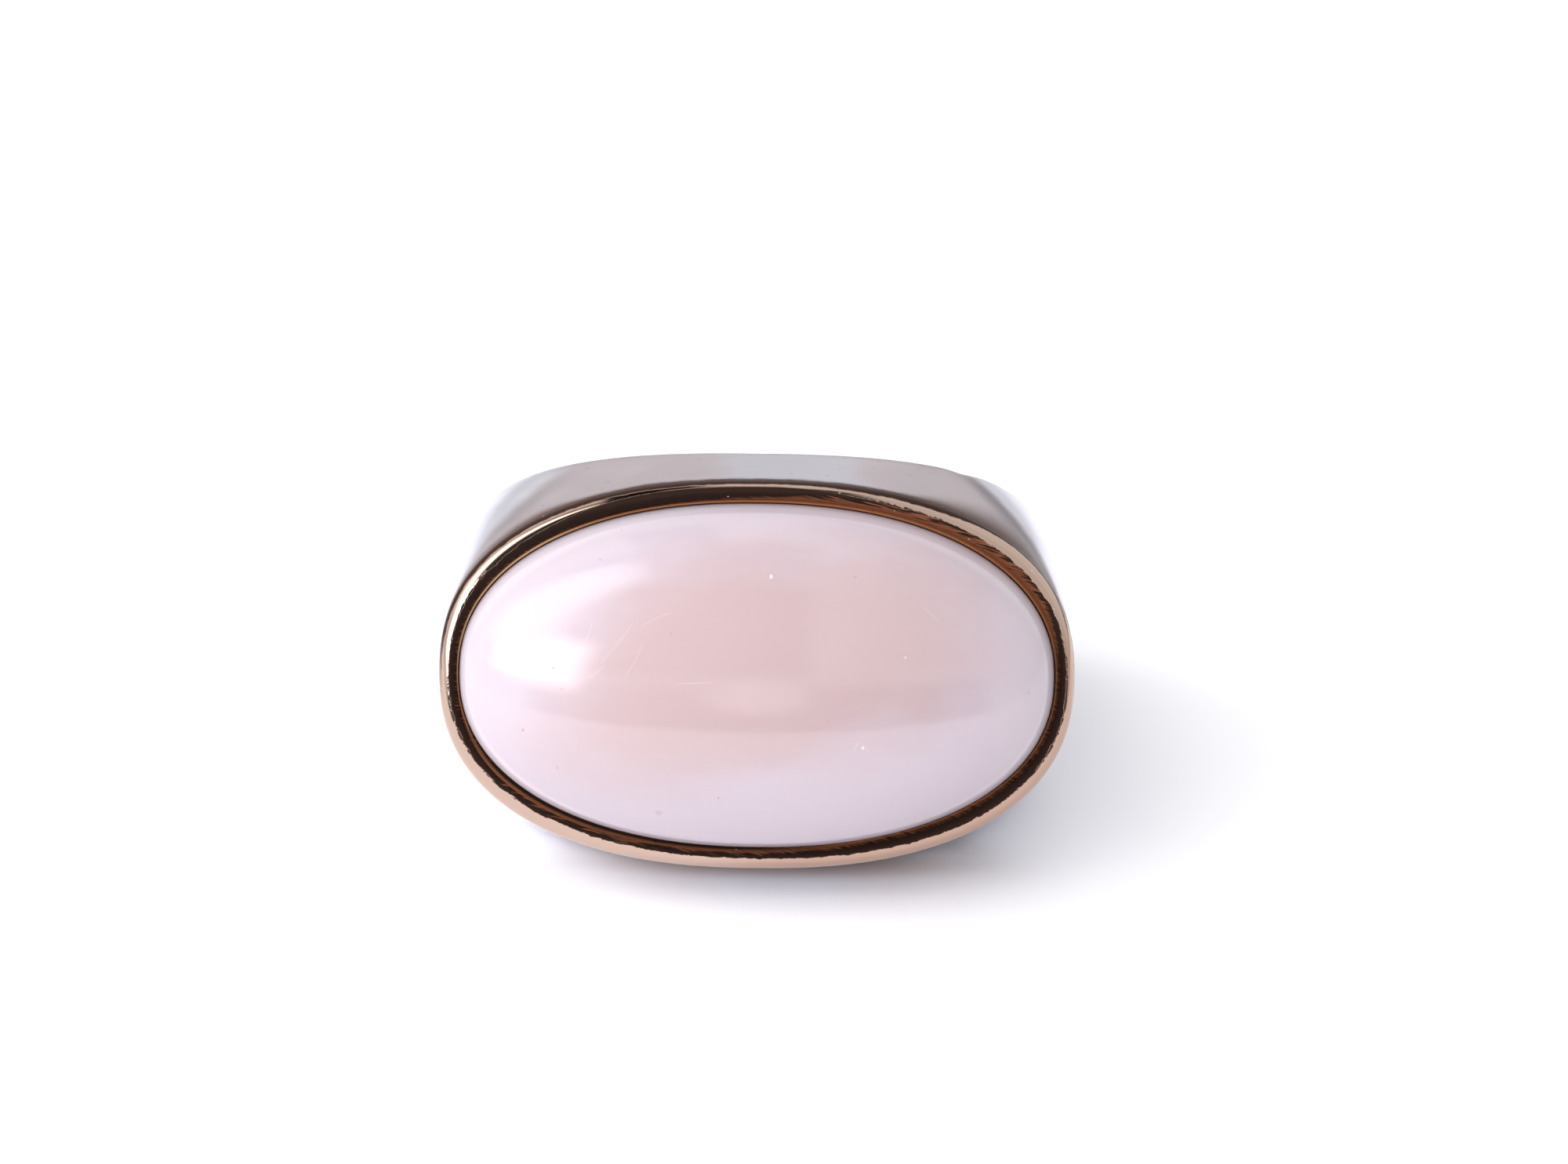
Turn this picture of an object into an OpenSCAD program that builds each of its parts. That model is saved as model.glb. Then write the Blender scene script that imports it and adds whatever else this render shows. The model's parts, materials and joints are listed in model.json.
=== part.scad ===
// Coral ring: a white metal shank with a broad oval head, a rose gold bezel and a coral cabochon.
// The ring is drawn upright, with the stone on top, and then laid down on its flat side,
// so that the stone faces the front, -Y, and a little upwards.

/* [Finger hole] */
// Inside diameter of the hoop
finger_d = 17.5; // [16.5:0.25:18]
// Radius that rounds the inside edges of the hoop
inner_round = 0.45; // [0.3:0.05:0.6]

/* [Hoop] */
// Thickness of the hoop at its back and beside the finger
hoop_t = 1.95; // [1.7:0.05:2.1]
// Width over which the side faces round over to the outside
hoop_round = 1.1; // [0.9:0.05:1.2]
// Width between the side faces at the back of the hoop
back_w = 3.4; // [3:0.1:4]
// Width between the side faces beside the finger
waist_w = 7.8; // [7.4:0.1:8.6]

/* [Head] */
// Length of the head at the seat of the bezel
head_l = 22.52; // [20:0.01:24]
// Width of the head at the seat of the bezel
head_w = 13.86; // [12:0.01:14.5]
// Fullness of the oval outline, where 2 is a plain oval
head_power = 2.34; // [2:0.02:2.6]
// Height of the bezel's seat over the finger axis
seat_h = 13.4; // [12.6:0.1:14]
// Angle by which the head widens from the bezel's seat towards the finger
head_flare = 7.1; // [6:0.1:8]
// Fullness of the head's outline at its foot, where it is squarer
foot_power = 2.78; // [2.4:0.02:3]
// Depth of that foot under the seat
foot_d = 6.4; // [5:0.1:8]
// Height over the finger axis at which head and side faces meet
knee_h = 9.4; // [9:0.1:9.8]
// Width between the side faces at that height
knee_w = 15.6; // [15.2:0.05:15.8]
// Width over which the edge between head and side faces is rounded
knee_round = 0.57; // [0.4:0.01:0.8]
// Rounding left at the two ends of the head
end_round = 0.14; // [0.1:0.01:0.2]

/* [Bezel] */
// Height of the bezel's crest over its seat
bezel_h = 0.8; // [0.6:0.05:1]
// Place of the crest, as a share of the rim's width from the outside
crest_at = 0.48; // [0.4:0.02:0.56]
// Depth of the sleeve that stands in the pocket of the head
sleeve_d = 1.45; // [1:0.05:1.8]
// Place of the sleeve's outer wall, as a share of the rim's width
sleeve_at = 0.54; // [0.5:0.02:0.6]

/* [Coral] */
// Length of the stone
coral_l = 21.08; // [20.7:0.02:21.2]
// Width of the stone
coral_w = 12.24; // [11.9:0.02:12.4]
// Fullness of the stone's oval
coral_power = 2.2; // [2:0.02:2.4]
// Height of the dome over the stone's edge
dome_h = 4.6; // [3.4:0.1:5.4]
// Height of the stone's edge over the seat of the bezel
girdle_h = 0.36; // [0.25:0.01:0.45]
// Width of the small bevel around the underside of the stone
base_bevel = 0.3; // [0.2:0.05:0.5]

/* [Hidden] */

// Clearance between two pieces
gap = 0.04;
// Sections of the shank from the middle of the head to its end, and from there to the back
head_steps = 12;
back_steps = 28;
// Points of a section: along the rounded inside edge, and from there to the outside
edge_steps = 3;
side_steps = 13;
// Sections around the bezel and the coral, and rings from the stone's edge to its crown
oval_steps = 96;
coral_steps = 84;
dome_steps = 13;
// Thinnest edge of the shank, left so that its outside stays closed
thin = 0.03;
// Excess metal on the inside, which the finger hole takes away
spare = 0.05;

bore_r = finger_d / 2;
flat_r = bore_r + inner_round;
hoop_r = bore_r + hoop_t;
head_a = head_l / 2;
head_b = head_w / 2;
round_power = 2.4;
end_angle = atan(head_a / seat_h);
pocket_d = sleeve_d + gap;
coral_a = coral_l / 2;
coral_b = coral_w / 2;
rim_w = head_a - coral_a - gap;
edge_slope = sin(90 / edge_steps) / (1 - cos(90 / edge_steps));

// Goes smoothly from 0 to 1 as t does
function ease(t) = let (c = max(0, min(1, t))) c * c * (3 - 2 * c);
function mix(a, b, t) = a + (b - a) * t;

// Half width between the side faces at height n over the finger axis: a parabola through
// the back, the finger axis and the knee
bend = ((knee_w - waist_w) / knee_h - (waist_w - back_w) / hoop_r) / (knee_h + hoop_r);
function half_width(n) =
    (waist_w + n * ((waist_w - back_w) / hoop_r + bend * (n + hoop_r))) / 2;

// Half length of the body at height n over the finger axis
function half_length(n) = mix(hoop_r, head_a, ease(pow(max(0, n / seat_h), 0.75)));

// Half width of the head at height n, at a share of the half length
function oval_width(n, share) =
    let (d = seat_h - n, q = mix(head_power, foot_power, ease(d / foot_d)))
    (head_b + d * tan(head_flare)) * pow(max(0, 1 - pow(share, q)), 1 / q);

// The smaller of two widths, rounded where they are nearly equal
function blended(a, b) =
    let (h = max(0, min(1, 0.5 + (b - a) / (2 * knee_round))))
    mix(b, a, h) - knee_round * h * (1 - h);

// Half width of the body at height n and a given distance in from its outside
function side(n, inset) =
    let (
        far = half_length(n),
        oval = oval_width(n, max(0, min(1, 1 - inset / far))),
        t = max(0, min(1, inset / mix(hoop_round, end_round, ease(n / 5))))
    )
    max(0, blended(half_width(n), oval)) * pow(1 - pow(1 - t, round_power), 1 / round_power);

// Outer radius of the section at an angle from the middle of the head
function reach(angle, r, n = 8) = n == 0 ? r : reach(angle, half_length(r * cos(angle)) / sin(angle), n - 1);
function outer_r(angle) =
    angle <= end_angle + 0.001 ? seat_h / cos(angle)
    : angle < 90 ? reach(angle, hoop_r)
    : hoop_r;

// Distance of a point of the section from the body's outside
function inset_at(angle, r) = angle < 90 ? half_length(r * cos(angle)) - r * sin(angle) : hoop_r - r;

// One half of a section, from inside the finger hole to the outside, as radius and half width.
// The inside edge is rounded, and its first point lies on the line that runs on into the hole.
function half_section(angle) =
    let (far = outer_r(angle))
    concat(
        [for (i = [0:edge_steps])
            let (
                t = 90 * i / edge_steps,
                r = flat_r - inner_round * cos(t) - (i == 0 ? spare : 0),
                drop = inner_round * (1 - sin(t)) + (i == 0 ? spare * edge_slope : 0)
            )
            [r, side(r * cos(angle), inset_at(angle, r)) - drop]],
        [for (i = [1:side_steps])
            let (r = far - (far - flat_r) * pow(1 - i / side_steps, 2))
            [r, max(thin, side(r * cos(angle), inset_at(angle, r)))]]
    );

// The whole section: up one side, and back down the other
function section(angle) =
    let (half = half_section(angle > 180 ? 360 - angle : angle), last = len(half) - 1)
    [for (i = [0:2 * last + 1])
        let (p = i <= last ? half[i] : half[2 * last + 1 - i])
        [p[0] * sin(angle), i <= last ? p[1] : -p[1], p[0] * cos(angle)]];

// Angles of the sections: close together at the ends of the head
head_angles = [for (i = [0:head_steps]) atan(head_a / seat_h * sin(90 * i / head_steps))];
back_angles = [for (i = [1:back_steps]) end_angle + (180 - end_angle) * i / back_steps];
half_angles = concat(head_angles, back_angles);
last_angle = len(half_angles) - 1;
angles = concat(half_angles, [for (i = [1:last_angle - 1]) 360 - half_angles[last_angle - i]]);
shank_rings = [for (angle = angles) section(angle)];

// A point of an oval outline, lifted to a height over the finger axis
function oval_point(angle, a, b, q, n) =
    let (k = pow(pow(abs(cos(angle)), q) + pow(abs(sin(angle)), q), -1 / q))
    [a * k * cos(angle), b * k * sin(angle), n];

// A point of the rim, at a share of the way from the head's outline in to the stone
function rim_point(angle, share, height) =
    mix(
        oval_point(angle, head_a, head_b, head_power, seat_h + height),
        oval_point(angle, coral_a + gap, coral_b + gap, coral_power, seat_h + height),
        share
    );

// Outline of the bezel's metal, as a share of the rim's width from the outside and height over
// the seat: down the sleeve's outer wall, up its inner wall to the bevel, over the crest and down
bezel_profile = [
    [sleeve_at, gap],
    [sleeve_at, -sleeve_d],
    [1, -sleeve_d],
    [1, bezel_h * 0.45],
    [mix(crest_at, 1, 0.7), bezel_h * 0.75],
    [crest_at + 0.14, bezel_h * 0.96],
    [crest_at, bezel_h],
    [crest_at * 0.42, bezel_h * 0.92],
    [crest_at * 0.12, bezel_h * 0.7],
    [0, bezel_h * 0.45],
    [0, gap]
];
bezel_rings = [for (i = [0:oval_steps - 1])
    [for (p = bezel_profile) rim_point(360 * i / oval_steps, p[0], p[1])]];

// A ring around the coral, at a share of its outline
function coral_ring(share, height) =
    [for (i = [0:coral_steps - 1])
        oval_point(360 * i / coral_steps, coral_a * share, coral_b * share, coral_power, seat_h + height)];
base_share = 1 - base_bevel / coral_b;
coral_rings = concat(
    [coral_ring(base_share, gap - sleeve_d), coral_ring(1, gap - sleeve_d + base_bevel)],
    [for (i = [0:dome_steps])
        let (t = 88 * i / dome_steps)
        coral_ring(cos(t), girdle_h + dome_h * sin(t))]
);

// Slope of the line that touches one side of the ring at its head and at its back
head_side = [for (ring = shank_rings, p = ring) if (p[2] > hoop_r / 2) p];
back_side = [for (ring = shank_rings, p = ring) if (p[2] < -hoop_r / 2) p];
function highest(points, slope) =
    let (v = [for (p = points) p[1] - p[2] * slope])
    points[search(max(v), v)[0]];
function touching(slope, n = 6) =
    let (a = highest(head_side, slope), b = highest(back_side, slope))
    n == 0 ? slope : touching((a[1] - b[1]) / (a[2] - b[2]), n - 1);
lean = atan(touching(0.3));

// Laid down on its side: the lowest point on the ground, and the middle of its length on the origin
function laid(p) = [
    p[0],
    p[1] * sin(lean) - p[2] * cos(lean),
    p[1] * cos(lean) + p[2] * sin(lean)
];
laid_points = [for (ring = concat(shank_rings, bezel_rings, coral_rings), p = ring) laid(p)];
laid_y = [for (p = laid_points) p[1]];
laid_z = [for (p = laid_points) p[2]];

// Skin over rings of equal length, closed into a loop or capped at both ends
module skin(rings, closed) {
    n = len(rings[0]);
    turns = len(rings) - (closed ? 0 : 1);
    points = [for (ring = rings, p = ring) p];
    sides = [for (i = [0:turns - 1], j = [0:n - 1])
        let (
            a = i * n,
            b = ((i + 1) % len(rings)) * n,
            k = (j + 1) % n
        )
        each [[a + j, b + j, b + k], [a + j, b + k, a + k]]];
    caps = closed ? [] : [
        [for (j = [0:n - 1]) j],
        [for (j = [0:n - 1]) (len(rings) - 1) * n + n - 1 - j]
    ];
    polyhedron(points = points, faces = concat(sides, caps), convexity = 6);
}

module on_side() {
    translate([0, -(min(laid_y) + max(laid_y)) / 2, -min(laid_z)])
        rotate([90 - lean, 0, 0])
            children();
}

// Hoop, shoulders and head in one piece of metal, with the finger hole and the pocket of the bezel
module shank() {
    color([0.78, 0.77, 0.79])
        on_side()
            difference() {
                skin(shank_rings, true);
                rotate([90, 0, 0])
                    cylinder(r = bore_r, h = 2 * knee_w, center = true, $fn = 96);
                translate([0, 0, seat_h - pocket_d])
                    linear_extrude(height = 2 * pocket_d)
                        polygon([for (i = [0:oval_steps - 1])
                            let (p = rim_point(360 * i / oval_steps, sleeve_at - gap / rim_w, 0))
                            [p[0], p[1]]]);
            }
}

// Rim of rose gold that stands in the pocket and holds the stone
module bezel() {
    color([0.85, 0.62, 0.52])
        on_side()
            skin(bezel_rings, true);
}

// Oval cabochon with a high dome, a straight edge and a small bevel underneath
module coral() {
    color([0.93, 0.79, 0.79])
        on_side()
            skin(coral_rings, false);
}

shank();
bezel();
coral();
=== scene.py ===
# Coral ring: a broad white metal shank, a rose gold bezel and a pale pink cabochon, lying on its side.
import json
import math
import bmesh
import bpy
import numpy as np
from mathutils import Matrix, Vector


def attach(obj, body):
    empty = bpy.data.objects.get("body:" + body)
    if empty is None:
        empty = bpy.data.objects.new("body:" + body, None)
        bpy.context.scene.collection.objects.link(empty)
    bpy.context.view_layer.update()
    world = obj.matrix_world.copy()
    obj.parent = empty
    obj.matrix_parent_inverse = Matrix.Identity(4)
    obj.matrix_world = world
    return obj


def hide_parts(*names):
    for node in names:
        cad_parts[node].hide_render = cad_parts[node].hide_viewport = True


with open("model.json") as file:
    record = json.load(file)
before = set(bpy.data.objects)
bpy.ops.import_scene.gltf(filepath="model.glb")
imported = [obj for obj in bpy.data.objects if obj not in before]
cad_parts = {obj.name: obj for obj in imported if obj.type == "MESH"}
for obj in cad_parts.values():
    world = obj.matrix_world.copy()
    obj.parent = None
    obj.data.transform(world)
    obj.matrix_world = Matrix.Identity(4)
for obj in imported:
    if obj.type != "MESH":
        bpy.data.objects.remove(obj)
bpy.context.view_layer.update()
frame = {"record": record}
print("frame loaded")

# The ring's own directions: x along the stone, w along the finger, n from the finger out to the stone.
# All lengths below are in millimetres, and n is counted from the finger axis.
mm = 0.001
hole = next(m for m in frame["record"]["mounts"] if m["name"] == "finger_hole")
holeAt = Vector(hole["pos_m"])
fingerWay = Vector(hole["axis"])
stoneWay = Vector((0, -fingerWay.z, fingerWay.y))
lean = math.atan2(fingerWay.y, fingerWay.z)
weld = 0.0002  # points closer than this are merged

# Outlines that the three pieces share
outline = {
    "headLength": 22.52,
    "headWidth": 13.86,
    "headPower": 2.34,  # 2 is a plain oval, more is squarer
    "stoneLength": 21.08,
    "stoneWidth": 12.24,
    "stonePower": 2.2,
    "seat": 13.4,  # height of the bezel's seat
    "gap": 0.04,  # between two pieces
}
headA, headB = outline["headLength"] / 2, outline["headWidth"] / 2
stoneA, stoneB = outline["stoneLength"] / 2, outline["stoneWidth"] / 2
seat, gap = outline["seat"], outline["gap"]


def ease(t):
    t = np.clip(t, 0, 1)
    return t * t * (3 - 2 * t)


def mix(a, b, t):
    return a + (b - a) * t


def oval(angle, a, b, power):
    c, s = np.cos(angle), np.sin(angle)
    k = (np.abs(c) ** power + np.abs(s) ** power) ** (-1 / power)
    return a * k * c, b * k * s


def placed(x, w, n):  # from the ring's own directions to the frame, in metres
    points = np.outer(np.ravel(x), (1, 0, 0)) + np.outer(np.ravel(w), fingerWay)
    return (points + np.outer(np.ravel(n), stoneWay)) * mm + np.array(holeAt)


def linked(name, mesh):
    piece = bpy.data.objects.new(name, mesh)
    bpy.context.scene.collection.objects.link(piece)
    return piece


def meshPiece(name, points, faces, sharpAngle, material):
    mesh = bpy.data.meshes.new(name)
    mesh.from_pydata([tuple(p) for p in points], [], faces)
    bm = bmesh.new()
    bm.from_mesh(mesh)
    bmesh.ops.remove_doubles(bm, verts=bm.verts, dist=weld * mm)
    bmesh.ops.dissolve_degenerate(bm, edges=bm.edges, dist=weld * mm)
    bmesh.ops.recalc_face_normals(bm, faces=bm.faces)
    for face in bm.faces:
        face.smooth = True
    for edge in bm.edges:
        if len(edge.link_faces) == 2 and edge.calc_face_angle() > math.radians(sharpAngle):
            edge.smooth = False
    bm.to_mesh(mesh)
    bm.free()
    mesh.materials.append(material)
    return linked(name, mesh)


class Wire:  # an output socket that can be written in sums
    def __init__(self, board, socket):
        self.board, self.socket = board, socket

    def calc(self, operation, *others):
        return self.board.calc(operation, self, *others)

    def out(self, name):  # another output of the same node
        return Wire(self.board, self.socket.node.outputs[name])

    def __add__(self, other):
        return self.calc("ADD", other)

    def __sub__(self, other):
        return self.calc("SUBTRACT", other)

    def __mul__(self, other):
        return self.calc("MULTIPLY", other)

    def __truediv__(self, other):
        return self.calc("DIVIDE", other)

    def __pow__(self, other):
        return self.calc("POWER", other)

    def __rsub__(self, other):
        return self.board.calc("SUBTRACT", other, self)

    def __rtruediv__(self, other):
        return self.board.calc("DIVIDE", other, self)

    __radd__ = __add__
    __rmul__ = __mul__


class Board:  # a node tree that nodes are added to
    def __init__(self, tree):
        self.tree = tree

    def add(self, kind, settings=None, sockets=None, out=0):
        node = self.tree.nodes.new(kind)
        for key, value in (settings or {}).items():
            if key == "curve":
                self.setCurve(node.mapping, value)
            else:
                setattr(node, key, value)
        pairs = sockets.items() if isinstance(sockets, dict) else enumerate(sockets or [])
        for key, value in pairs:
            self.feed(node.inputs[key], value)
        return Wire(self, node.outputs[out]) if len(node.outputs) else node

    def feed(self, socket, value):
        if isinstance(value, Wire):
            self.tree.links.new(value.socket, socket)
        else:
            socket.default_value = value

    def setCurve(self, mapping, points):
        curve = mapping.curves[0]
        for x, y in points[1:-1]:
            curve.points.new(x, y)
        for spot, (x, y) in zip(curve.points, points):
            spot.location = (x, y)
            spot.handle_type = "VECTOR"
        mapping.update()

    def calc(self, operation, *values):
        return self.add("ShaderNodeMath", {"operation": operation}, values)

    def step(self, value, low, high, start=0.0, end=1.0):  # a smooth step from low to high
        return self.add(
            "ShaderNodeMapRange",
            {"interpolation_type": "SMOOTHSTEP"},
            {"Value": value, "From Min": low, "From Max": high, "To Min": start, "To Max": end},
        )

    def window(self, value, low0, low1, high1, high0):  # 1 between the middle two, 0 outside the others
        return self.step(value, low0, low1) * self.step(value, high1, high0, 1.0, 0.0)

    def noise(self, vector, scale, detail, roughness, distortion=0.0):
        return self.add(
            "ShaderNodeTexNoise",
            {"noise_dimensions": "3D"},
            {"Vector": vector, "Scale": scale, "Detail": detail, "Roughness": roughness,
             "Distortion": distortion},
        )

    def vector(self, operation, *values, out=0):
        return self.add("ShaderNodeVectorMath", {"operation": operation}, values, out=out)

    def joined(self, *values):
        return self.add("ShaderNodeCombineXYZ", None, values)

    def parted(self, vector, out=0):
        return self.add("ShaderNodeSeparateXYZ", None, [vector], out=out)

    def ringSpot(self, place):  # x, w and n of a point
        spot = self.vector("SUBTRACT", place, tuple(holeAt))
        ways = (Vector((1, 0, 0)), fingerWay, stoneWay)
        return [self.vector("DOT_PRODUCT", spot, tuple(way / mm), out=1) for way in ways]

    def blend(self, factor, a, b):  # two colours
        a, b = (colour if isinstance(colour, Wire) else (*colour, 1) for colour in (a, b))
        return self.add(
            "ShaderNodeMix", {"data_type": "RGBA", "clamp_factor": True}, {0: factor, 6: a, 7: b}, out=2
        )

    def bump(self, strength, distance, height):
        return self.add(
            "ShaderNodeBump", None, {"Strength": strength, "Distance": distance * mm, "Height": height}
        )

    def surface(self, sockets):  # a Principled shader and the output
        shader = self.add("ShaderNodeBsdfPrincipled", None, sockets)
        self.add("ShaderNodeOutputMaterial", None, {"Surface": shader})


def newMaterial(name):
    material = bpy.data.materials.new(name)
    material.use_nodes = True
    material.node_tree.nodes.clear()
    return material, Board(material.node_tree)


# White metal: satin and a little blotchy, with a painted highlight on the shoulders and painted shade in the
# crease, on the right of the broad side and beside the bezel.
# In all the looks a pair of places says where a change starts and where it ends, and the scale of a
# noise counts its cells to a metre.
whiteMetalLook = {
    "faceColour": (0.61, 0.525, 0.56),
    "patchColour": (0.56, 0.48, 0.51),
    "patchScale": 420.0,
    "patchEdge": (0.38, 0.66),
    "coolColour": (0.64, 0.63, 0.71),  # of a cooler patch on the broad side
    "coolAt": 1.1,  # its x
    "coolReach": (1.7, 3.2),
    "coolStrength": 0.75,
    "shadeFrom": (3.0, 6.0),  # painted shade: x from which the broad side is a little darker
    "shadeStrength": 0.13,
    "plainColour": (0.67, 0.645, 0.685),  # of the hoop, away from the head
    "headHeight": (3.0, 8.0),
    "headRadius": (9.1, 10.2),  # from the finger axis
    # painted highlight on the shoulders, outside the crease
    "shoulderSheenColour": (0.84, 0.82, 0.9),
    "shoulderSheenFrom": (-0.5, 1.7),  # outside the crease
    "shoulderSheenSide": (5.5, 8.5),  # from the middle
    # painted shade, in the crease and on the right of the broad side
    "paintedShadeColour": (0.24, 0.215, 0.23),
    "creaseShadeStrength": (0.3, 0.88),  # left and right
    "creaseShadeInner": (-2.0, -0.1),
    "creaseShadeOuter": (0.0, 1.1),
    "creaseShadeSide": (6.2, 8.2),  # from the middle
    "speckColour": (0.16, 0.14, 0.13),
    "speckScale": 2900.0,
    "speckEdge": (0.74, 0.765),
    "speckStrength": 0.4,
    # painted shade beside the bezel
    "seamShade": (0.075, 0.036, 0.025),
    "seamShadeDepth": 0.48,  # under the seat, and more towards the ends
    "seamShadeMore": (1.4, 3.3),  # left and right
    "seamShadeSide": (4.5, 9.3),  # from the middle
    "seamShadeFade": 0.9,
    "seamShadeOffShoulder": 0.85,
    "unevenScale": 700.0,  # of the noise that shifts cool patch, crease, and painted shade beside the bezel
    "coolUneven": 1.5,
    "creaseUneven": 0.6,
    "seamShadeUneven": 0.5,
    "specular": 0.03,
    "roughness": 0.27,
    "patchRoughness": 0.05,
    "grainRoughness": 0.06,
    "grainScale": 5200.0,
    "waveScale": 900.0,
    "waveShare": 1.5,
    "bumpStrength": 0.35,
    "bumpDepth": 0.012,
}


def makeWhiteMetal():
    look, form = whiteMetalLook, shank
    material, board = newMaterial("white_metal")
    place = board.add("ShaderNodeTexCoord", out="Object")
    x, _, n = board.ringSpot(place)
    aside, depth = x.calc("ABSOLUTE"), seat - n
    rightHalf = board.step(x, -1.0, 1.0)

    def sided(values):  # one value on the left half, the other on the right
        left, right = values
        return left + rightHalf * (right - left)

    uneven = board.noise(place, look["unevenScale"], 3.0, 0.6) - 0.5
    cloud = board.step(board.noise(place, look["patchScale"], 3.0, 0.55, 0.4), *look["patchEdge"])
    colour = board.blend(cloud, look["patchColour"], look["faceColour"])
    away = (x - look["coolAt"] + uneven * look["coolUneven"]).calc("ABSOLUTE")
    cool = board.step(away, *look["coolReach"], look["coolStrength"], 0.0)
    colour = board.blend(cool, colour, look["coolColour"])
    # Painted shade: the right of the broad side is a little darker
    shade = board.step(x, *look["shadeFrom"], 0.0, look["shadeStrength"])
    colour = board.blend(shade, colour, look["paintedShadeColour"])
    radius = (x ** 2 + n ** 2) ** 0.5
    atHead = board.step(n, *look["headHeight"]) * board.step(radius, *look["headRadius"])
    colour = board.blend(atHead, look["plainColour"], colour)
    # How far a point is outside the crease
    run = (form["creaseTo"] - aside) * (1 / (form["creaseTo"] - form["creaseFrom"]))
    drop = run.calc("MAXIMUM", 0.0) ** form["creasePower"] * sided(form["creaseDrop"])
    outside = depth - drop + uneven * look["creaseUneven"]
    # Painted highlight on the shoulders, outside the crease
    sheenOnShoulder = board.step(outside, *look["shoulderSheenFrom"]) * board.step(aside, *look["shoulderSheenSide"])
    colour = board.blend(sheenOnShoulder, colour, look["shoulderSheenColour"])
    # Painted shade in the crease
    shadeInCrease = board.step(outside, *look["creaseShadeInner"]) * board.step(outside, *look["creaseShadeOuter"], 1.0, 0.0)
    shadeInCrease = shadeInCrease * board.step(aside, *look["creaseShadeSide"]) * sided(look["creaseShadeStrength"])
    colour = board.blend(shadeInCrease, colour, look["paintedShadeColour"])
    specks = board.step(board.noise(place, look["speckScale"], 1.0, 0.5), *look["speckEdge"])
    colour = board.blend(specks * look["speckStrength"], colour, look["speckColour"])
    # Painted shade beside the bezel, where the shank meets it; it also dulls the metal
    reach = look["seamShadeDepth"] + board.step(aside, *look["seamShadeSide"]) * sided(look["seamShadeMore"])
    near = board.step(1 - (depth - uneven * look["seamShadeUneven"]) / reach, 0.0, 1.0)
    near = near ** look["seamShadeFade"] * (1 - sheenOnShoulder * look["seamShadeOffShoulder"])
    colour = board.blend(near, colour, look["seamShade"])
    grain = board.noise(place, look["grainScale"], 3.0, 0.6)
    waves = board.noise(place, look["waveScale"], 2.0, 0.5)
    board.surface({
        "Base Color": colour,
        "Metallic": 1 - near,
        "Specular IOR Level": look["specular"],
        "Roughness": look["roughness"] + cloud * look["patchRoughness"] + grain * look["grainRoughness"],
        "Normal": board.bump(look["bumpStrength"], look["bumpDepth"], grain + waves * look["waveShare"]),
    })
    return material


# Coral: pale pink and glossy, paler and cooler towards its edge, partly its own colour and partly painted
# reflection, with painted light at the very edge and the right end, and faint clouds, specks and hairlines
coralLook = {
    "colour": (0.424, 0.317, 0.326),
    # away from the pink middle: partly the stone's own colour, partly painted reflection
    "paleColour": (0.462, 0.396, 0.451),
    "paleFrom": (0.4, 1.0),  # in parts of the pink area
    "pinkAt": (0.7, 0.85),  # x and w of the deepest pink
    "pinkSize": (0.98, 0.86),  # in parts of the stone
    "pinkTilt": 0.14,
    "pinkLow": (-5.0, -2.3, 5.2, 2.6),  # x, w and radii of a second pink area
    "pinkLowPale": 0.62,  # how pale its middle is
    "cloudScale": 160.0,
    "cloudShare": 0.4,
    "mottleScale": (260.0, 900.0, 900.0),
    "mottleShare": 0.26,
    # painted light at the stone's very edge and at its right end
    "edgeLightColour": (0.66, 0.6, 0.64),
    "edgeLightFrom": (0.965, 0.995),  # in parts of the stone
    "edgeLightStrength": 0.25,
    "rightFrom": (7.5, 10.4),  # painted light: x from which the right end is paler
    "rightLightStrength": 0.2,
    "speckColour": (0.4, 0.2, 0.17),
    "speckScale": 1900.0,
    "speckEdge": (0.77, 0.8),
    "speckStrength": 0.3,
    "pits": [  # x, w, radius, and whether it is light
        (0.46, 3.95, 0.07, True), (-7.15, 0.6, 0.045, False), (-8.2, -1.7, 0.05, False),
        (-1.3, -3.9, 0.035, False), (3.75, -2.0, 0.06, True), (5.2, 1.2, 0.035, True),
    ],
    "pitShape": 1.3,  # how much higher than wide
    "pitStrength": 0.8,
    "hairColour": (0.62, 0.58, 0.6),
    "scratches": [  # x and w of the middle, degrees, length
        (-5.1, 1.3, 52, 1.5), (-4.7, 1.9, 47, 1.1), (-4.2, 1.0, 63, 1.7), (-5.6, 0.5, 35, 0.9),
        (-3.5, 2.4, 28, 1.3), (-6.0, 2.0, 70, 0.8), (3.6, -2.0, 60, 0.5), (3.9, -2.05, 118, 0.5),
        (-2.2, 0.2, 8, 1.6), (6.0, 2.6, -35, 0.9),
    ],
    "scratchWidth": 0.022,
    "scratchBend": 0.7,
    "bendScale": 400.0,
    "scratchStrength": 0.2,
    "scratchRelief": 0.15,
    "roughness": 0.1,
    "refraction": 1.6,
    "scatter": 0.3,
    "scatterWay": (1.0, 0.6, 0.5),
    "scatterDepth": 1.2,
    "waveScale": 500.0,
    "bumpStrength": 0.12,
    "bumpDepth": 0.02,
}


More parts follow.
